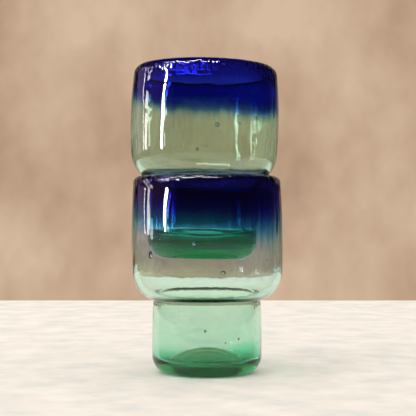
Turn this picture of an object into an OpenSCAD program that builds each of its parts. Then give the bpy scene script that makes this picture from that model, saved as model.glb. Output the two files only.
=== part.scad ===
// Two stacked hand-blown glasses for a short milky coffee.
// Each glass is three gathers of coloured glass joined hot: a hollow foot with a thick
// domed base, a wide bowl on it, and a blue rim that feathers into the bowl's wall.
// The upper glass stands with its foot inside the lower bowl, and the round underside
// of its own bowl rests on the lower glass's lip. It lifts straight off.
// All heights are measured from the plane that the glass stands on.

/* [Foot of each glass] */
// Gap all round between a foot and the mouth of a lower glass that it goes into
foot_clearance = 4.04; // [2.5:0.02:5.5]
// Height at which the foot is widest
foot_widest_z = 10.5; // [9.5:0.1:13]
// How far the foot draws in from there to the neck
neck_draw_in = 0.5; // [0.3:0.1:1.6]
// Thickness of the foot's wall
foot_wall = 2.8; // [2.2:0.1:3.4]
// Rounding round the foot's bottom edge
base_edge_r = 8; // [6.5:0.1:9]
// Depth that is ground flat at the bottom of that rounding
base_ground = 0.4; // [0.2:0.05:0.8]
// Radius of the hollow pushed up under the base
hollow_r = 13; // [10:0.5:15]
// Height of that hollow at its middle
hollow_h = 3.5; // [2:0.1:4.5]
// Height of the lowest ring of the floor inside
floor_z = 5; // [4.5:0.1:8]
// Height of the domed middle of that floor
dome_z = 10.9; // [9.5:0.1:12]
// Rounding between that floor and the foot's wall
floor_edge_r = 4.5; // [3:0.1:6]

/* [Bowl and lip of each glass] */
// Radius of the round shoulder under the bowl
shoulder_r = 13.5; // [12.5:0.1:15]
// Thickness of the bowl's wall
bowl_wall = 2.6; // [2.1:0.1:3.1]
// Rounding of the throat, where the bowl opens into the foot
throat_r = 3; // [2:0.1:4]
// Rounding of the lip's inner side
lip_inner_r = 1.45; // [1:0.05:1.8]
// Radius of the curve by which the wall thickens up to the lip
lip_blend_r = 15; // [10:0.5:20]
// Height that the joint of rim and bowl climbs through the wall
scarf_rise = 6; // [3:0.5:8]

/* [Lower glass] */
// Height of the lower glass
lower_h = 87.4; // [84:0.1:91]
// Largest outer radius of its bowl
lower_bowl_r = 34; // [33:0.1:35]
// Height of its neck, where foot and bowl are joined
lower_neck_z = 32.2; // [29:0.1:35]
// Height at which its bowl is widest
lower_widest_z = 56; // [52:0.5:60]
// How far its side draws in from there to the rim
lower_rim_draw_in = 1; // [0.4:0.1:2]
// Rounding of its lip's outer side
lower_lip_r = 3.2; // [2.2:0.1:4]
// How far its blue glass reaches down the outside
lower_blue_depth = 25.4; // [20:0.2:32]

/* [Upper glass] */
// Height of the upper glass
upper_h = 85.8; // [83:0.1:90]
// How much narrower its bowl is than the lower one, as a radius
upper_narrower = 0.75; // [0:0.05:1.5]
// How much thicker its base is than the lower one's
upper_base_lift = 3; // [0:0.1:4]
// Height of its neck, where foot and bowl are joined
upper_neck_z = 34; // [31:0.1:37]
// Height at which its bowl is widest
upper_widest_z = 59.8; // [54:0.2:62]
// How far its side draws in from there to the rim
upper_rim_draw_in = 1.4; // [0.4:0.1:2]
// Rounding of its lip's outer side
upper_lip_r = 4.2; // [3:0.1:5.2]
// How far its blue glass reaches down the outside
upper_blue_depth = 19; // [17:0.2:29]

/* [Seat] */
// Clearance between the upper bowl's underside and the lower lip
seat_gap = 0.3; // [0.2:0.05:0.5]
// Degrees that the upper glass leans to the right on its seat
lean = 1; // [0:0.1:2]
// How far it has slipped to the left of its even seat
seat_slip = 0.9; // [0:0.05:1.2]

/* [Hidden] */

// Colours of the glass
foot_green = [0.42, 0.76, 0.58];
bowl_clear = [0.84, 0.93, 0.90];
bowl_celadon = [0.74, 0.86, 0.70];
rim_blue = [0.07, 0.09, 0.52];

// Sides of a full turn, and the longest steps along an outline's arcs
round_fn = 96;
step_angle = 5;
step_length = 4;
// How far the outlines that part the three gathers reach past the glass
overrun = 1;

// The sizes that one glass has for itself, in the order of the functions below
lower = [lower_h, lower_bowl_r, lower_widest_z, lower_rim_draw_in, lower_lip_r, lower_blue_depth,
    lower_neck_z, 0];
upper_bowl_r = lower_bowl_r - upper_narrower;
upper = [upper_h, upper_bowl_r, upper_widest_z, upper_rim_draw_in, upper_lip_r, upper_blue_depth,
    upper_neck_z, upper_base_lift];
function height(glass) = glass[0];
function bowl_r(glass) = glass[1];
function widest_z(glass) = glass[2];
function rim_draw_in(glass) = glass[3];
function lip_r(glass) = glass[4];
function blue_z(glass) = glass[0] - glass[5];
function neck_z(glass) = glass[6];
function base_lift(glass) = glass[7];

// Radius of the arc that is upright at its widest place and draws in over a height
function barrel_r(rise, draw_in) = (rise * rise + draw_in * draw_in) / (2 * draw_in);
// Direction of one point seen from another, in degrees
function bearing(from, to) = atan2(to[1] - from[1], to[0] - from[0]);
// Place on a circle of radius r round [x, z] at a given height
function place_at(x, z, r, at_z) = [x + sqrt(r * r - (at_z - z) * (at_z - z)), at_z];
// Where the circles round a and b cross, on the left of the way from a to b
function meet(a, a_r, b, b_r) =
    let (
        far = norm(b - a),
        ahead = (b - a) / far,
        along = (a_r * a_r - b_r * b_r + far * far) / (2 * far),
        aside = sqrt(a_r * a_r - along * along)
    )
    a + along * ahead + aside * [-ahead[1], ahead[0]];
// Points of an arc after its first one, which the stretch before it has drawn
function arc(centre, r, from, to) =
    let (
        turn = to - from,
        steps = ceil(max(abs(turn) / step_angle, abs(turn) * PI / 180 * r / step_length))
    )
    [for (i = [1 : steps]) centre + r * [cos(from + turn * i / steps), sin(from + turn * i / steps)]];

// Centres of the bowl's side and of its lip, and the foot's largest outer radius
function bowl_side_r(glass) = barrel_r(height(glass) - widest_z(glass), rim_draw_in(glass));
function bowl_side_c(glass) = [bowl_r(glass) - bowl_side_r(glass), widest_z(glass)];
function lip_outer_c(glass) =
    place_at(bowl_side_c(glass)[0], widest_z(glass), bowl_side_r(glass) - lip_r(glass),
        height(glass) - lip_r(glass));
function lip_inner_c(glass) = [lip_outer_c(glass)[0], height(glass) - lip_inner_r];
foot_r = lip_inner_c(lower)[0] - lip_inner_r - foot_clearance;

// Centres of the foot's arcs
hollow_arc_r = barrel_r(hollow_r, hollow_h);
hollow_c = [0, hollow_h - hollow_arc_r];
function side_r(glass) = barrel_r(neck_z(glass) - foot_widest_z, neck_draw_in);
function side_c(glass) = [foot_r - side_r(glass), foot_widest_z];
function base_edge_c(glass) =
    place_at(side_c(glass)[0], foot_widest_z, side_r(glass) - base_edge_r, base_edge_r - base_ground);
function stand_r(glass) = place_at(base_edge_c(glass)[0], base_edge_c(glass)[1], base_edge_r, 0)[0];
function neck(glass) = [foot_r - neck_draw_in, neck_z(glass)];
function floor_edge_c(glass) =
    place_at(side_c(glass)[0], foot_widest_z, side_r(glass) - foot_wall - floor_edge_r,
        floor_z + base_lift(glass) + floor_edge_r);
dome_drop = dome_z - floor_z - floor_edge_r;
function dome_r(glass) =
    (floor_edge_c(glass)[0] * floor_edge_c(glass)[0] + dome_drop * dome_drop - floor_edge_r * floor_edge_r)
        / (2 * (floor_edge_r + dome_drop));
function dome_c(glass) = [0, dome_z + base_lift(glass) - dome_r(glass)];

// Centres of the bowl's arcs
function shoulder_c(glass) =
    meet(bowl_side_c(glass), bowl_side_r(glass) - shoulder_r, neck(glass), shoulder_r);
function throat_c(glass) =
    meet(shoulder_c(glass), shoulder_r - bowl_wall + throat_r,
        side_c(glass), side_r(glass) - foot_wall + throat_r);
function blend_c(glass) =
    meet(lip_inner_c(glass), lip_inner_r + lip_blend_r,
        bowl_side_c(glass), bowl_side_r(glass) - bowl_wall - lip_blend_r);

// Outer surface, from the middle of the base up to the crest of the lip
function outer_line(glass) =
    let (
        edge = base_edge_c(glass),
        foot_c = side_c(glass),
        stand = [stand_r(glass), 0],
        bowl_c = bowl_side_c(glass),
        shoulder = shoulder_c(glass),
        lip = lip_outer_c(glass)
    )
    concat(
        [[0, hollow_h]],
        arc(hollow_c, hollow_arc_r, 90, bearing(hollow_c, [hollow_r, 0])),
        [stand],
        arc(edge, base_edge_r, bearing(edge, stand), bearing(foot_c, edge)),
        arc(foot_c, side_r(glass), bearing(foot_c, edge), bearing(foot_c, neck(glass))),
        arc(shoulder, shoulder_r, bearing(shoulder, neck(glass)), bearing(bowl_c, shoulder)),
        arc(bowl_c, bowl_side_r(glass), bearing(bowl_c, shoulder), bearing(bowl_c, lip)),
        arc(lip, lip_r(glass), bearing(bowl_c, lip), 90)
    );

// Inner surface, from the crest of the lip down to the middle of the domed floor
function inner_line(glass) =
    let (
        bowl_c = bowl_side_c(glass),
        shoulder = shoulder_c(glass),
        throat = throat_c(glass),
        foot_c = side_c(glass),
        edge = floor_edge_c(glass),
        dome = dome_c(glass),
        lip = lip_inner_c(glass),
        blend = blend_c(glass)
    )
    concat(
        arc(lip, lip_inner_r, 90, 360 + bearing(lip, blend)),
        arc(blend, lip_blend_r, bearing(blend, lip), bearing(bowl_c, blend)),
        arc(bowl_c, bowl_side_r(glass) - bowl_wall, bearing(bowl_c, blend), bearing(bowl_c, shoulder)),
        arc(shoulder, shoulder_r - bowl_wall, bearing(bowl_c, shoulder), bearing(shoulder, throat)),
        arc(throat, throat_r, bearing(throat, shoulder), 360 + bearing(throat, foot_c)),
        arc(foot_c, side_r(glass) - foot_wall, bearing(foot_c, throat), bearing(foot_c, edge)),
        arc(edge, floor_edge_r, bearing(foot_c, edge), bearing(edge, dome)),
        arc(dome, dome_r(glass), bearing(dome, edge), 90)
    );

// Corners of the slanted joint of rim and bowl, just past the wall on either side
function scarf_outer(glass) = [bowl_r(glass) + overrun, blue_z(glass) - overrun * scarf_rise / bowl_wall];
function scarf_inner(glass) =
    scarf_outer(glass) + (bowl_wall + 2 * overrun) * [-1, scarf_rise / bowl_wall];

// The half sections in which each gather lies
function foot_zone(glass) =
    let (edge = scarf_outer(glass)[0], top = neck_z(glass))
    [[0, -overrun], [edge, -overrun], [edge, top], [0, top]];
function bowl_zone(glass) =
    let (low = scarf_outer(glass), high = scarf_inner(glass), bottom = neck_z(glass))
    [[0, bottom], [low[0], bottom], low, high, [0, high[1]]];
function rim_zone(glass) =
    let (low = scarf_outer(glass), high = scarf_inner(glass), top = height(glass) + overrun)
    [low, [low[0], top], [0, top], [0, high[1]], high];

// Where the upper glass stands. In the plane of the lean, the circle of its shoulder
// keeps seat_gap from the circle of the lower lip's inner side, left and right. Evenly
// seated it leaves the same gap on both sides, and slipped it rests on the left one.
seat_reach = shoulder_r + lip_inner_r + seat_gap;
ride = shoulder_c(upper);
overhang = ride[0] * cos(lean) - lip_inner_c(lower)[0];
tip = ride[0] * sin(lean);
even_shift = -tip * sqrt((seat_reach * seat_reach - overhang * overhang - tip * tip)
    / (overhang * overhang + tip * tip));
ride_x = even_shift - seat_slip;
ride_up = max(
    tip + sqrt(seat_reach * seat_reach - (ride_x + overhang) * (ride_x + overhang)),
    -tip + sqrt(seat_reach * seat_reach - (ride_x - overhang) * (ride_x - overhang))
);
upper_place = [ride_x - ride[1] * sin(lean), 0, lip_inner_c(lower)[1] + ride_up - ride[1] * cos(lean)];

// One gather of a glass, turned from its part of the section
module gather(glass, zone) {
    rotate_extrude($fn = round_fn)
        intersection() {
            polygon(concat(outer_line(glass), inner_line(glass)));
            polygon(zone);
        }
}

// Stands what is drawn at the origin on the lower glass's lip
module seated() {
    translate(upper_place)
        rotate([0, lean, 0])
            children();
}

module lower_foot() {
    color(foot_green) gather(lower, foot_zone(lower));
}

module lower_bowl() {
    color(bowl_clear) gather(lower, bowl_zone(lower));
}

module lower_rim() {
    color(rim_blue) gather(lower, rim_zone(lower));
}

module upper_foot() {
    color(foot_green) seated() gather(upper, foot_zone(upper));
}

module upper_bowl() {
    color(bowl_celadon) seated() gather(upper, bowl_zone(upper));
}

module upper_rim() {
    color(rim_blue) seated() gather(upper, rim_zone(upper));
}

lower_foot();
lower_bowl();
lower_rim();
upper_foot();
upper_bowl();
upper_rim();
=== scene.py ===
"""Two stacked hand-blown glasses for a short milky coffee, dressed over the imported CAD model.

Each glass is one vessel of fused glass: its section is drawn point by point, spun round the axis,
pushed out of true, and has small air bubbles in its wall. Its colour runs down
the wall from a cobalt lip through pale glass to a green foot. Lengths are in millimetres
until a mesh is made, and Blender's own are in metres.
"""
import math
import random

import bpy
from mathutils import Matrix, Vector


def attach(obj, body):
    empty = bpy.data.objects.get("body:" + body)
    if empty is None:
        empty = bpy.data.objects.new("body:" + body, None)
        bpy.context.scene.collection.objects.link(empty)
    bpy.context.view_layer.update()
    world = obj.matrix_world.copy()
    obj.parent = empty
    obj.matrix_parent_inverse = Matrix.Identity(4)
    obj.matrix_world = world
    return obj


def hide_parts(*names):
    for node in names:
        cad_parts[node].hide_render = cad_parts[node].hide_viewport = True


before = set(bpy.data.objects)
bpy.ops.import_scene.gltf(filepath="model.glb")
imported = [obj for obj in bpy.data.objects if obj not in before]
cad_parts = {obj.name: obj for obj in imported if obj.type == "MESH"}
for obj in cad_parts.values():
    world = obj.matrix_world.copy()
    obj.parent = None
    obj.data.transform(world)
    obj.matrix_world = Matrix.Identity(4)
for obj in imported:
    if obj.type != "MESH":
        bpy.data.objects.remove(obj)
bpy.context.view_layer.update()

MM = 0.001

# ---- Sizes of the glasses ----
# They are the CAD model's, but for the neck's fillet and throat, the floors and hollows, and
# bowls that are a little slimmer, so that the swaying walls stay inside the CAD's box
FOOT_R = 24.5
FOOT_WIDEST_Z = 10.5
NECK_DRAW_IN = 0.5
FOOT_WALL = 2.8
BASE_EDGE_R = 8.0
BASE_GROUND = 0.4
SHOULDER_R = 13.5
NECK_FILLET_R = 1.0
BOWL_WALL = 2.6
THROAT_R = 1.6
LIP_INNER_R = 1.45
LIP_BLEND_R = 15.0

LOWER = dict(height=87.4, neck_z=32.2, bowl_r=33.85, widest_z=56.0, draw_in=1.0, lip_r=3.2,
             hollow_r=13.0, hollow_h=3.5, floor_z=5.2, dome_z=10.9, floor_edge_r=3.0)
UPPER = dict(height=85.8, neck_z=34.0, bowl_r=33.1, widest_z=59.8, draw_in=1.4, lip_r=4.2,
             hollow_r=11.5, hollow_h=6.4, floor_z=9.5, dome_z=12.7, floor_edge_r=3.9)

# Where the upper glass stands, and how far it leans to the right
UPPER_PLACE = Vector((-2.066, 0.0, 50.833))
UPPER_LEAN = math.radians(1.0)

# Steps of the drawn section and of the spin
ARC_STEP = math.radians(7.0)
ARC_LENGTH = 2.6
SPIN_STEPS = 104
CREASE_HOLD = 0.35
SAME_POINT = 0.035
MERGE_WITHIN = 1e-6

# Air bubbles: depth as a share of the width, the deepest that the wall takes, and small seeds
BUBBLE_DEPTH = 0.75
BUBBLE_DEPTH_MAX = 1.5
SEEDS = 22
SEED_WIDTHS = (0.4, 0.9)
SEED_STRETCHES = (1, 1.5)
SEED_HEADINGS = (20, 340)
SEED_HEIGHTS = (46, 80)


# ---- The section ----
def barrel_r(rise, draw_in):
    """Radius of the arc that is upright at its widest and draws in over a rise."""
    return (rise * rise + draw_in * draw_in) / (2 * draw_in)


def bearing(centre, point):
    """Angle in which a point lies, as seen from a centre."""
    return math.atan2(point.y - centre.y, point.x - centre.x)


def place_at(centre, r, z):
    """The point at height z on the right half of a circle."""
    return Vector((centre.x + math.sqrt(r * r - (z - centre.y) ** 2), z))


def meet(a, a_r, b, b_r):
    """Where two circles cross, on the left of the way from a to b."""
    far = (b - a).length
    ahead = (b - a) / far
    along = (a_r * a_r - b_r * b_r + far * far) / (2 * far)
    aside = math.sqrt(a_r * a_r - along * along)
    return a + along * ahead + aside * Vector((-ahead.y, ahead.x))


def arc(centre, r, start, end):
    """Points of an arc after its first."""
    turn = end - start
    steps = math.ceil(max(abs(turn) / ARC_STEP, abs(turn) * r / ARC_LENGTH))
    angles = [start + turn * i / steps for i in range(1, steps + 1)]
    return [centre + r * Vector((math.cos(a), math.sin(a))) for a in angles]


def centres(glass):
    """Centres and radii of the arcs that a glass's section is made of."""
    c = {}
    c["hollow_r"] = barrel_r(glass["hollow_r"], glass["hollow_h"])
    c["hollow"] = Vector((0, glass["hollow_h"] - c["hollow_r"]))
    c["side_r"] = barrel_r(glass["neck_z"] - FOOT_WIDEST_Z, NECK_DRAW_IN)
    c["side"] = Vector((FOOT_R - c["side_r"], FOOT_WIDEST_Z))
    c["edge"] = place_at(c["side"], c["side_r"] - BASE_EDGE_R, BASE_EDGE_R - BASE_GROUND)
    c["stand"] = place_at(c["edge"], BASE_EDGE_R, 0)
    neck = Vector((FOOT_R - NECK_DRAW_IN, glass["neck_z"]))
    rise = glass["height"] - glass["widest_z"]
    c["bowl_r"] = barrel_r(rise, glass["draw_in"])
    c["bowl"] = Vector((glass["bowl_r"] - c["bowl_r"], glass["widest_z"]))
    c["shoulder"] = meet(c["bowl"], c["bowl_r"] - SHOULDER_R, neck, SHOULDER_R)
    c["fillet"] = meet(c["shoulder"], SHOULDER_R + NECK_FILLET_R,
                       c["side"], c["side_r"] + NECK_FILLET_R)
    edge_r = glass["floor_edge_r"]
    c["floor"] = place_at(c["side"], c["side_r"] - FOOT_WALL - edge_r, glass["floor_z"] + edge_r)
    drop = glass["dome_z"] - c["floor"].y
    reach = c["floor"].x
    c["dome_r"] = (reach ** 2 + drop ** 2 - edge_r ** 2) / (2 * (edge_r + drop))
    c["dome"] = Vector((0, glass["dome_z"] - c["dome_r"]))
    c["throat"] = meet(c["shoulder"], SHOULDER_R - BOWL_WALL + THROAT_R,
                       c["side"], c["side_r"] - FOOT_WALL + THROAT_R)
    lip_r = glass["lip_r"]
    c["lip"] = place_at(c["bowl"], c["bowl_r"] - lip_r, glass["height"] - lip_r)
    c["lip_in"] = Vector((c["lip"].x, glass["height"] - LIP_INNER_R))
    c["blend"] = meet(c["lip_in"], LIP_INNER_R + LIP_BLEND_R,
                      c["bowl"], c["bowl_r"] - BOWL_WALL - LIP_BLEND_R)
    return c


def keep_crisp(points, creases):
    """Adds a point close to each side of a crease, so that smoothing leaves it a crease."""
    held = []
    for before, here, after in zip([None] + points, points, points[1:] + [None]):
        crisp = any((here - crease).length < SAME_POINT for crease in creases)
        held += [here.lerp(before, CREASE_HOLD / (before - here).length)] if crisp else []
        held.append(here)
        held += [here.lerp(after, CREASE_HOLD / (after - here).length)] if crisp else []
    return held


def section(glass):
    """Points from the middle of the underside, up the outside, over the lip and down inside."""
    c = centres(glass)
    up, full = math.pi / 2, 2 * math.pi
    side, edge, bowl, shoulder = c["side"], c["edge"], c["bowl"], c["shoulder"]
    lip, lip_in, blend, throat = c["lip"], c["lip_in"], c["blend"], c["throat"]
    floor, dome, fillet = c["floor"], c["dome"], c["fillet"]
    rim = Vector((glass["hollow_r"], 0))
    points = [Vector((0, glass["hollow_h"]))]
    points += arc(c["hollow"], c["hollow_r"], up, bearing(c["hollow"], rim))
    points += [(rim + c["stand"]) / 2, c["stand"]]
    points += arc(edge, BASE_EDGE_R, bearing(edge, c["stand"]), bearing(side, edge))
    points += arc(side, c["side_r"], bearing(side, edge), bearing(side, fillet))
    points += arc(fillet, NECK_FILLET_R, full + bearing(fillet, side), bearing(fillet, shoulder))
    points += arc(shoulder, SHOULDER_R, bearing(shoulder, fillet), bearing(bowl, shoulder))
    points += arc(bowl, c["bowl_r"], bearing(bowl, shoulder), bearing(bowl, lip))
    points += arc(lip, glass["lip_r"], bearing(bowl, lip), up)
    points += arc(lip_in, LIP_INNER_R, up, full + bearing(lip_in, blend))
    points += arc(blend, LIP_BLEND_R, bearing(blend, lip_in), bearing(bowl, blend))
    points += arc(bowl, c["bowl_r"] - BOWL_WALL, bearing(bowl, blend), bearing(bowl, shoulder))
    points += arc(shoulder, SHOULDER_R - BOWL_WALL, bearing(bowl, shoulder), bearing(shoulder, throat))
    points += arc(throat, THROAT_R, bearing(throat, shoulder), full + bearing(throat, side))
    points += arc(side, c["side_r"] - FOOT_WALL, bearing(side, throat), bearing(side, floor))
    points += arc(floor, glass["floor_edge_r"], bearing(side, floor), bearing(floor, dome))
    points += arc(dome, c["dome_r"], bearing(dome, floor), up)
    return keep_crisp(points, [rim])


def wall_middle(glass, z):
    """Radius at the middle of the wall, at a height on the bowl's or the foot's side."""
    c = centres(glass)
    if z < glass["neck_z"]:
        return place_at(c["side"], c["side_r"] - FOOT_WALL / 2, z).x
    if z < c["shoulder"].y:
        return place_at(c["shoulder"], SHOULDER_R - BOWL_WALL / 2, z).x
    return place_at(c["bowl"], c["bowl_r"] - BOWL_WALL / 2, z).x


# ---- Glass blowing ----
def deselect():
    """Leaves edit mode and selects nothing."""
    if bpy.context.mode != "OBJECT":
        bpy.ops.object.mode_set(mode="OBJECT")
    bpy.ops.object.select_all(action="DESELECT")


def only(piece):
    """Makes one piece the selected and the active one."""
    deselect()
    piece.select_set(True)
    bpy.context.view_layer.objects.active = piece


def spun_vessel(name, glass):
    """The vessel as a spun section, closed at both poles and along its seam."""
    deselect()
    points = [Vector((p.x * MM, 0, p.y * MM)) for p in section(glass)]
    bpy.ops.mesh.primitive_circle_add(vertices=3, radius=MM, location=(0, 0, 0))
    vessel = bpy.context.object
    vessel.name = vessel.data.name = name
    bpy.ops.object.mode_set(mode="EDIT")
    bpy.ops.mesh.select_all(action="SELECT")
    bpy.ops.mesh.merge(type="CENTER")
    bpy.ops.transform.translate(value=points[0])
    for here, there in zip(points, points[1:]):
        bpy.ops.mesh.extrude_vertices_move(TRANSFORM_OT_translate={"value": there - here})
    bpy.ops.mesh.select_all(action="SELECT")
    bpy.ops.mesh.spin(steps=SPIN_STEPS, angle=2 * math.pi, center=(0, 0, 0), axis=(0, 0, 1))
    bpy.ops.mesh.select_all(action="SELECT")
    bpy.ops.mesh.remove_doubles(threshold=MERGE_WITHIN)
    bpy.ops.mesh.normals_make_consistent(inside=False)
    bpy.ops.object.mode_set(mode="OBJECT")
    return vessel


def heading(degrees):
    """Level direction from the axis, 0 towards the camera and 90 to the right."""
    turn = math.radians(degrees)
    return Vector((math.sin(turn), -math.cos(turn), 0))


def blow_bubbles(vessel, glass, bubbles):
    """Air bubbles in the wall: closed hollows whose faces look into the air inside."""
    made = []
    for degrees, z, across, tall in bubbles:
        out = heading(degrees)
        at = (out * wall_middle(glass, z) + Vector((0, 0, z))) * MM
        bpy.ops.object.select_all(action="DESELECT")
        bpy.ops.mesh.primitive_ico_sphere_add(subdivisions=2, radius=MM / 2)
        bubble = bpy.context.object
        bpy.ops.object.mode_set(mode="EDIT")
        bpy.ops.mesh.select_all(action="SELECT")
        deep = min(BUBBLE_DEPTH * across, BUBBLE_DEPTH_MAX)
        bpy.ops.transform.resize(value=(across, deep, tall))
        bpy.ops.mesh.flip_normals()
        bpy.ops.object.mode_set(mode="OBJECT")
        bubble.matrix_world = Matrix.Translation(at) @ Matrix.Rotation(math.radians(degrees), 4, "Z")
        made.append(bubble)
    only(vessel)
    for bubble in made:
        bubble.select_set(True)
    bpy.ops.object.join()


def push(vessel, degrees, z, r, move, reach):
    """Pushes the soft wall near one place, with a smooth fall-off round it."""
    at = (heading(degrees) * r + Vector((0, 0, z))) * MM
    near = min(vessel.data.vertices, key=lambda v: (v.co - at).length_squared).index
    only(vessel)
    bpy.ops.object.mode_set(mode="EDIT")
    bpy.ops.mesh.select_all(action="DESELECT")
    bpy.ops.object.mode_set(mode="OBJECT")
    vessel.data.vertices[near].select = True
    bpy.ops.object.mode_set(mode="EDIT")
    bpy.ops.transform.translate(
        value=heading(degrees) * move * MM, use_proportional_edit=True,
        proportional_edit_falloff="SMOOTH", proportional_size=reach * MM)
    bpy.ops.object.mode_set(mode="OBJECT")


def sink_lip(vessel, glass, degrees, spread, drop, reach):
    """Lowers the lip on one side, within so many degrees, and eases it into the level lip."""
    only(vessel)
    bpy.ops.object.mode_set(mode="EDIT")
    bpy.ops.mesh.select_all(action="DESELECT")
    bpy.ops.object.mode_set(mode="OBJECT")
    for vertex in vessel.data.vertices:
        aside = vertex.co.xy.normalized().dot(heading(degrees).xy)
        high = vertex.co.z > (glass["height"] - glass["lip_r"]) * MM
        vertex.select = high and aside > math.cos(math.radians(spread))
    bpy.ops.object.mode_set(mode="EDIT")
    bpy.ops.transform.translate(
        value=(0, 0, -drop * MM), use_proportional_edit=True,
        proportional_edit_falloff="SMOOTH", proportional_size=reach * MM)
    bpy.ops.object.mode_set(mode="OBJECT")


def sway(vessel, name, size, strength):
    """Slow waves that the whole wall follows, level only, so that heights stay true."""
    for axis in "XY":
        waves = bpy.data.textures.new(f"{name}_{axis}", "CLOUDS")
        waves.noise_scale = size * MM
        waves.noise_depth = 0
        modifier = vessel.modifiers.new(f"{name}_{axis}", "DISPLACE")
        modifier.texture = waves
        modifier.texture_coords = "LOCAL"
        modifier.direction = axis
        modifier.strength = strength * MM
        modifier.mid_level = 0.5
        bpy.ops.object.modifier_apply(modifier=modifier.name)


def finish_vessel(vessel):
    """Smooths the wall, as geometry and in its shading."""
    only(vessel)
    smooth = vessel.modifiers.new("smooth_wall", "SUBSURF")
    smooth.levels = smooth.render_levels = 1
    bpy.ops.object.modifier_apply(modifier=smooth.name)
    bpy.ops.object.shade_smooth()


# ---- Shaders ----
class Value:
    """A shader socket that Python's operators work on."""

    def __init__(self, finish, socket):
        self.finish, self.socket = finish, socket

    def maths(self, operation, *values):
        """The result of a math node on some values or numbers."""
        return self.finish.node("ShaderNodeMath", {"operation": operation}, dict(enumerate(values)))

    def __add__(self, other):
        return self.maths("ADD", self, other)

    def __sub__(self, other):
        return self.maths("SUBTRACT", self, other)

    def __rsub__(self, other):
        return self.maths("SUBTRACT", other, self)

    def __mul__(self, other):
        return self.maths("MULTIPLY", self, other)

    def __truediv__(self, other):
        return self.maths("DIVIDE", self, other)

    def between(self, low, high):
        """0 up to low, 1 from high on, and a smooth step from one to the other."""
        settings = {"interpolation_type": "SMOOTHSTEP"}
        return self.finish.node(
            "ShaderNodeMapRange", settings, {"Value": self, "From Min": low, "From Max": high})

    __radd__ = __add__


class Finish:
    """A material or world under way, with one method that adds any node."""

    def __init__(self, owner):
        owner.use_nodes = True
        self.tree = owner.node_tree
        self.tree.nodes.clear()

    def node(self, kind, settings=None, inputs=None, output=0):
        """Adds a node with its settings and inputs, and returns one of its outputs."""
        new = self.tree.nodes.new(kind)
        for name, setting in (settings or {}).items():
            if name == "stops":
                self.set_stops(new.color_ramp, setting)
            else:
                setattr(new, name, setting)
        for name, value in (inputs or {}).items():
            if isinstance(value, Value):
                self.tree.links.new(value.socket, new.inputs[name])
            else:
                new.inputs[name].default_value = value
        return Value(self, new.outputs[output]) if new.outputs else new

    @staticmethod
    def set_stops(ramp, stops):
        """Gives a colour ramp its stops, each a place from 0 to 1 and a colour."""
        ramp.interpolation = "LINEAR"
        for place, colour in stops[:-1]:
            ramp.elements.new(place).color = (*colour, 1)
        ramp.elements[-1].position = stops[-1][0]
        ramp.elements[-1].color = (*stops[-1][1], 1)
        ramp.elements.remove(ramp.elements[0])

    def split(self, vector):
        """The x, y and z of a vector."""
        return [self.node("ShaderNodeSeparateXYZ", None, {0: vector}, axis) for axis in "XYZ"]

    def mix(self, factor, first, second):
        """One colour that turns into another as the factor goes from 0 to 1."""
        inputs = {0: factor, 6: first, 7: second}
        return self.node("ShaderNodeMix", {"data_type": "RGBA"}, inputs, 2)

    def noise(self, vector, stretch, detail=2.0, rough=0.5):
        """Smooth noise from 0 to 1, with so many waves a unit of length along x, y and z."""
        scaled = self.node("ShaderNodeMapping", None, {"Vector": vector, "Scale": stretch})
        return self.node("ShaderNodeTexNoise", None,
                         {"Vector": scaled, "Scale": 1.0, "Detail": detail, "Roughness": rough})


# Waves a millimetre along x, y and z, of what varies over the glass
STREAK_WAVES = (0.28, 0.28, 0.012)
DRIFT_WAVES = (0.035, 0.035, 0.02)
RIPPLE_WAVES = (0.14, 0.14, 0.07)
CORD_WAVES = (0.55, 0.55, 0.03)
PATCH_WAVES = (0.05, 0.05, 0.03)
PIT_WAVES = (0.5, 0.5, 0.28)

# How high the surface's waves stand, in millimetres, and how much stronger the lip is pitted
FOOT_RIPPLE = 0.05
BOWL_RIPPLE = 0.19
CORD_HEIGHT = 0.02
PIT_HEIGHT = 0.03
LIP_PITS = 30

# The foot's colour stands this much higher at its right, at its left and where it drifts
FOOT_RIGHT = 4
FOOT_LEFT = 1.5
FOOT_DRIFT = 3

POLISHED = 0.012
GROUND = 0.35
REFRACTION = 1.5


def colour_height(own, glass, look, shader):
    """Height on the wall that a place takes its colour from, with runs, streaks and drift."""
    x, y, z = shader.split(own)
    neck_z = glass["neck_z"]
    streaks = shader.noise(own, STREAK_WAVES) - 0.5
    drift = shader.noise(own, DRIFT_WAVES, 1.0) - 0.5
    bowl = z.between(neck_z + 4, neck_z + 14)
    right = x.between(look["right_from"], 30)
    left = (0 - x).between(18, 30)
    run = streaks * (look["streak"] + right * look["streak_right"]) + drift * look["drift"]
    bowl_shift = run + y * look["tilt_y"] + right * look["right"] + left * look["left"]
    foot = 1 - z.between(neck_z - 2, neck_z)
    sides = x.between(4, 24) * FOOT_RIGHT + (0 - x).between(14, 23) * FOOT_LEFT
    foot_shift = sides + drift * FOOT_DRIFT - y * look["foot_tilt"]
    return z - foot * foot_shift + bowl * bowl_shift


def surface_height(own, glass, shader):
    """Height of the surface's ripples, drawn cords and pits, in millimetres."""
    z = shader.split(own)[2]
    side = z.between(glass["neck_z"] + 9, glass["neck_z"] + 17)
    lip = z.between(glass["height"] - 7, glass["height"] - 1)
    ripple = shader.noise(own, RIPPLE_WAVES, 1.0)
    cord = shader.noise(own, CORD_WAVES, 1.0)
    patch = shader.noise(own, PATCH_WAVES, 0.0).between(0.48, 0.68)
    pitted = shader.noise(own, PIT_WAVES, 1.0) * (patch + lip * LIP_PITS)
    return ripple * (side * BOWL_RIPPLE + FOOT_RIPPLE) + cord * CORD_HEIGHT + pitted * PIT_HEIGHT


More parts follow.
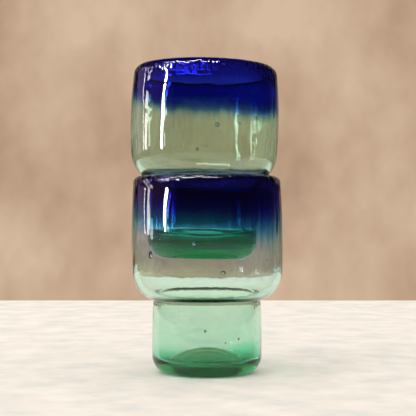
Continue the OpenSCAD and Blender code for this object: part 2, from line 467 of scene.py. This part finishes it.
def blown_glass(name, glass, look, place, lean):
    """Glass whose colour runs down the wall of a glass that stands at a place and leans."""
    material = bpy.data.materials.new(name)
    shader = Finish(material)
    objects = shader.node("ShaderNodeTexCoord", output="Object")
    back = Matrix.Rotation(-lean, 3, "Y")
    own = shader.node("ShaderNodeMapping", None, {
        "Vector": objects, "Location": -(back @ place), "Rotation": (0, -lean, 0),
        "Scale": (1 / MM, 1 / MM, 1 / MM)})
    top = look["bands"][-1][0]
    stops = [(height / top, colour) for height, colour in look["bands"]]
    height = colour_height(own, glass, look, shader)
    colour = shader.node("ShaderNodeValToRGB", {"stops": stops}, {0: height / top})
    bump = shader.node("ShaderNodeBump", None, {
        "Strength": 1.0, "Distance": 1.0, "Height": surface_height(own, glass, shader) * MM})
    ground = 1 - shader.split(own)[2].between(0.05, 0.25)
    surface = shader.node("ShaderNodeBsdfPrincipled", None, {
        "Base Color": colour, "Roughness": POLISHED + ground * GROUND, "IOR": REFRACTION,
        "Transmission Weight": 1.0, "Normal": bump})
    inside = shader.node("ShaderNodeVolumeAbsorption", None, {
        "Color": (*look["body_colour"], 1), "Density": look["body_density"]})
    shader.node("ShaderNodeOutputMaterial", None, {"Surface": surface, "Volume": inside})
    return material


# Colours that one wall lets through, at heights from the foot up
LOWER_BANDS = [
    (0.0, (0.10, 0.56, 0.36)),
    (6.5, (0.34, 0.82, 0.63)),
    (11.0, (0.77, 0.91, 0.84)),
    (24.0, (0.85, 0.925, 0.865)),
    (33.2, (0.86, 0.97, 0.90)),
    (34.6, (0.97, 1.0, 0.985)),
    (43.0, (0.95, 0.99, 0.975)),
    (47.0, (0.82, 0.82, 0.89)),
    (58.0, (0.78, 0.79, 0.92)),
    (61.0, (0.55, 0.68, 0.93)),
    (64.5, (0.28, 0.62, 0.90)),
    (66.5, (0.13, 0.38, 0.73)),
    (68.5, (0.10, 0.28, 0.64)),
    (73.0, (0.04, 0.06, 0.44)),
    (77.0, (0.025, 0.012, 0.32)),
    (82.0, (0.012, 0.006, 0.20)),
    (90.0, (0.012, 0.006, 0.22)),
]
UPPER_BANDS = [
    (0.0, (0.02, 0.46, 0.18)),
    (8.0, (0.02, 0.50, 0.26)),
    (9.0, (0.80, 1.0, 1.0)),
    (14.2, (0.80, 1.0, 1.0)),
    (15.0, (0.32, 0.88, 0.75)),
    (33.6, (0.40, 0.88, 0.75)),
    (34.4, (0.86, 0.92, 0.84)),
    (44.0, (0.85, 0.915, 0.835)),
    (48.0, (0.87, 0.93, 0.835)),
    (63.0, (0.85, 0.925, 0.84)),
    (64.9, (0.69, 0.862, 0.83)),
    (66.9, (0.32, 0.57, 0.76)),
    (68.3, (0.06, 0.20, 0.60)),
    (70.5, (0.014, 0.050, 0.52)),
    (76.0, (0.012, 0.035, 0.72)),
    (80.0, (0.008, 0.012, 0.52)),
    (83.0, (0.010, 0.008, 0.32)),
    (90.0, (0.010, 0.008, 0.32)),
]

# For each glass: its bands; how far streaks and drift shift the bowl's colour, in millimetres;
# how much lower it stands to the back, at the right from right_from on, and at the left; how the
# foot's colour tilts; and the colour and density of the glass itself
LOWER_LOOK = dict(
    bands=LOWER_BANDS, streak=5.0, streak_right=26.0, drift=5.0, tilt_y=0.0, right=2.0, left=-3.0,
    right_from=-5, foot_tilt=0.1, body_colour=(0.44, 0.88, 0.70), body_density=100.0)
UPPER_LOOK = dict(
    bands=UPPER_BANDS, streak=5.0, streak_right=4.0, drift=4.0, tilt_y=-0.045, right=3.0, left=-3.0,
    right_from=14, foot_tilt=0.0, body_colour=(0.05, 0.82, 0.70), body_density=70.0)

# Bubbles in view, as the heading and height of each, and how wide and how tall it is
LOWER_BUBBLES = [
    (-9.7, 58.2, 2.3, 2.8), (-37.3, 59.8, 2.0, 2.0), (12.0, 45.7, 2.2, 1.7), (-46.6, 52.9, 2.2, 3.6),
    (83.0, 53.2, 1.6, 3.0), (27.6, 63.5, 1.7, 1.9), (14.8, 77.8, 1.7, 1.9), (-15.0, 71.7, 1.2, 1.3),
    (-2.0, 20.4, 1.2, 1.3), (34.8, 16.7, 1.0, 1.3), (19.5, 15.3, 0.7, 0.7),
]
UPPER_BUBBLES = [
    (9.6, 57.0, 2.1, 2.1), (42.8, 60.7, 1.1, 1.9), (27.6, 57.9, 1.0, 1.1), (4.0, 69.5, 1.2, 1.3),
    (-5.0, 46.6, 1.3, 1.3),
]


def with_seeds(bubbles, seed):
    """The bubbles in view, and small seeds all round the bowl."""
    draw = random.Random(seed)
    seeds = []
    for _ in range(SEEDS):
        across = draw.uniform(*SEED_WIDTHS)
        turn, z = draw.uniform(*SEED_HEADINGS), draw.uniform(*SEED_HEIGHTS)
        seeds.append((turn, z, across, across * draw.uniform(*SEED_STRETCHES)))
    return bubbles + seeds


# ---- The two glasses ----
lower_vessel = spun_vessel("lower_glass_vessel", LOWER)
blow_bubbles(lower_vessel, LOWER, with_seeds(LOWER_BUBBLES, 3))
push(lower_vessel, -90, 46, 33, -0.7, 16)
push(lower_vessel, 60, 60, 34, -0.35, 22)
push(lower_vessel, -130, 70, 34, -0.4, 24)
only(lower_vessel)
sway(lower_vessel, "lower_sway", 30, 0.35)
finish_vessel(lower_vessel)

upper_vessel = spun_vessel("upper_glass_vessel", UPPER)
blow_bubbles(upper_vessel, UPPER, with_seeds(UPPER_BUBBLES, 8))
push(upper_vessel, -20, 60, 33, -0.3, 20)
push(upper_vessel, 130, 66, 33, -0.4, 24)
sink_lip(upper_vessel, UPPER, 180, 34, 3.4, 38)
only(upper_vessel)
sway(upper_vessel, "upper_sway", 28, 0.35)
finish_vessel(upper_vessel)
upper_vessel.matrix_world = (
    Matrix.Translation(UPPER_PLACE * MM) @ Matrix.Rotation(UPPER_LEAN, 4, "Y"))
only(upper_vessel)
bpy.ops.object.transform_apply(location=True, rotation=True, scale=True)

lower_vessel.data.materials.append(
    blown_glass("lower_blown_glass", LOWER, LOWER_LOOK, Vector((0, 0, 0)), 0.0))
upper_vessel.data.materials.append(
    blown_glass("upper_blown_glass", UPPER, UPPER_LOOK, UPPER_PLACE, UPPER_LEAN))

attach(lower_vessel, "lower_glass")
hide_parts("lower_foot", "lower_bowl", "lower_rim")
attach(upper_vessel, "upper_glass")
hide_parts("upper_foot", "upper_bowl", "upper_rim")


# ---- Stage ----
WHITE = (1, 1, 1)
TABLE_WIDTH = 0.88
TABLE_REACH = 0.44
TABLE_THICK = 0.03
TABLE_EDGE = 0.004
TABLE_SEAM_Y = -0.13
TABLE_WAVES = (45, 45, 45)
WALL_WAVES = (11, 9, 8)
TABLE_CLOUD = [(0.33, (0.76, 0.73, 0.68)), (0.5, (0.87, 0.80, 0.715)), (0.67, (0.93, 0.87, 0.79))]
WALL_CLOUD = [(0.32, (0.43, 0.285, 0.185)), (0.5, (0.55, 0.385, 0.26)), (0.68, (0.67, 0.49, 0.345))]
CEILING = (0.80, 0.76, 0.70, 1)
DARK_ROOM = (0.025, 0.018, 0.018, 1)
LEFT_OF_ROOM = (0.22, 0.10, 0.20, 1)
ROOM_LIGHT = (1.0, 0.985, 0.96, 1)
ROOM_STRENGTH = 1.05

CAMERA_AT = (0.00045, -0.475, 0.0665)
CAMERA_TILT = math.radians(90.81)
CAMERA_LENS = 91.73

# Upright windows that the glass mirrors: heading and distance, panes from low to high, width,
# glow and colour
WINDOWS = [
    ("window_left", -64, 1.3, [(0.075, 0.405), (0.433, 0.56)], 0.075, 1000, WHITE),
    ("window_side", -98, 1.4, [(0.066, 0.313), (0.346, 0.419), (0.473, 0.53)], 0.15, 32,
     (1.0, 0.86, 0.84)),
    ("window_edge", -107, 1.4, [(0.066, 0.53)], 0.03, 60, WHITE),
    ("window_far", -120, 1.4, [(0.04, 0.6)], 0.60, 1.2, (1.0, 0.62, 0.90)),
]

# Lights from above: heading, distance and height, size, glow, colour and what they show in
HIGH_LIGHTS = [
    ("skylight_left", -38, 1.0, 1.4, (0.85, 0.16), 220, WHITE, "glass"),
    ("skylight_front", 4, 1.0, 1.4, (0.55, 0.10), 220, WHITE, "glass"),
    ("skylight_side", -80, 1.0, 1.1, (0.20, 0.12), 200, (1, 0.9, 0.9), "glass"),
    ("shade_light", -50, 1.2, 1.2, (0.7, 0.7), 7, WHITE, "table"),
]


def table_board(name, front, back, mirrored):
    """A board of the pale table, which the glass mirrors or leaves out of its mirror."""
    deselect()
    bpy.ops.mesh.primitive_cube_add(size=1, location=(0, (front + back) / 2, -TABLE_THICK / 2))
    top = bpy.context.object
    top.name = name
    top.visible_glossy = mirrored
    bpy.ops.object.mode_set(mode="EDIT")
    bpy.ops.transform.resize(value=(TABLE_WIDTH, back - front, TABLE_THICK))
    bpy.ops.mesh.bevel(offset=TABLE_EDGE, segments=3)
    bpy.ops.object.mode_set(mode="OBJECT")
    bpy.ops.object.transform_apply(location=True, rotation=True, scale=True)
    material = bpy.data.materials.new(name + "_paint")
    pale = Finish(material)
    objects = pale.node("ShaderNodeTexCoord", output="Object")
    cloud = pale.noise(objects, TABLE_WAVES, 5.0, 0.6)
    colour = pale.node("ShaderNodeValToRGB", {"stops": TABLE_CLOUD}, {0: cloud})
    shader = pale.node("ShaderNodeBsdfPrincipled", None, {
        "Base Color": colour, "Roughness": 0.95, "Specular IOR Level": 0.1})
    pale.node("ShaderNodeOutputMaterial", None, {"Surface": shader})
    top.data.materials.append(material)


def room():
    """Soft white light, with a warm plain wall that is seen, and a dark room that is mirrored."""
    world = bpy.data.worlds.new("room")
    bpy.context.scene.world = world
    air = Finish(world)
    look = air.node("ShaderNodeTexCoord", output="Generated")
    aside, ahead, up = air.split(look)
    cloud = air.noise(look, WALL_WAVES, 4.0, 0.55)
    wall = air.node("ShaderNodeValToRGB", {"stops": WALL_CLOUD}, {0: cloud})
    seen_colour = air.mix(up.between(0.45, 0.75), wall, CEILING)
    dim = air.mix((0 - aside).between(0.7, 0.98), DARK_ROOM, LEFT_OF_ROOM)
    mirrored_colour = air.mix(ahead.between(0.8, 0.985), dim, seen_colour)
    seen = air.node("ShaderNodeBackground", None, {"Color": seen_colour, "Strength": 1.0})
    mirrored = air.node("ShaderNodeBackground", None, {"Color": mirrored_colour, "Strength": 1.0})
    light = air.node("ShaderNodeBackground", None, {"Color": ROOM_LIGHT, "Strength": ROOM_STRENGTH})
    camera, glossy, through = [
        air.node("ShaderNodeLightPath", None, None, f"Is {ray} Ray")
        for ray in ("Camera", "Glossy", "Transmission")]
    looks = camera.maths("MAXIMUM", camera, through)
    lit = air.node("ShaderNodeMixShader", None, {0: glossy, 1: light, 2: mirrored})
    both = air.node("ShaderNodeMixShader", None, {0: looks, 1: lit, 2: seen})
    air.node("ShaderNodeOutputWorld", None, {"Surface": both})


def softbox(name, at, size, glow, colour, shows_in):
    """A soft light that faces the glasses, with so many watts for each square metre."""
    lamp = bpy.data.lights.new(name, "AREA")
    lamp.shape = "RECTANGLE"
    lamp.size, lamp.size_y = size
    lamp.energy = glow * size[0] * size[1]
    lamp.color = colour
    holder = bpy.data.objects.new(name, lamp)
    bpy.context.collection.objects.link(holder)
    holder.location = at
    aim = Vector((0, 0, min(at.z, 0.1)))
    holder.rotation_euler = (aim - at).to_track_quat("-Z", "Y").to_euler()
    holder.visible_diffuse = shows_in == "table"
    holder.visible_glossy = holder.visible_transmission = shows_in == "glass"


def lamps():
    """All windows, one softbox a pane, and the lights from above."""
    for name, degrees, distance, panes, width, glow, colour in WINDOWS:
        for low, high in panes:
            at = heading(degrees) * distance + Vector((0, 0, (low + high) / 2))
            softbox(f"{name}_{low:.2f}", at, (width, high - low), glow, colour, "glass")
    for name, degrees, distance, height, size, glow, colour, shows_in in HIGH_LIGHTS:
        at = heading(degrees) * distance + Vector((0, 0, height))
        softbox(name, at, size, glow, colour, shows_in)


def camera():
    """The camera, a little above the middle of the lower bowl."""
    lens = bpy.data.cameras.new("camera")
    lens.sensor_fit = "HORIZONTAL"
    lens.sensor_width = 36.0
    lens.lens = CAMERA_LENS
    lens.clip_start, lens.clip_end = 0.01, 50.0
    holder = bpy.data.objects.new("camera", lens)
    bpy.context.collection.objects.link(holder)
    holder.location = CAMERA_AT
    holder.rotation_euler = (CAMERA_TILT, 0, 0)
    bpy.context.scene.camera = holder


table_board("table_board", TABLE_SEAM_Y, TABLE_REACH, True)
table_board("table_front_board", -TABLE_REACH, TABLE_SEAM_Y, False)
room()
lamps()
camera()
bpy.context.scene.view_settings.view_transform = "Standard"
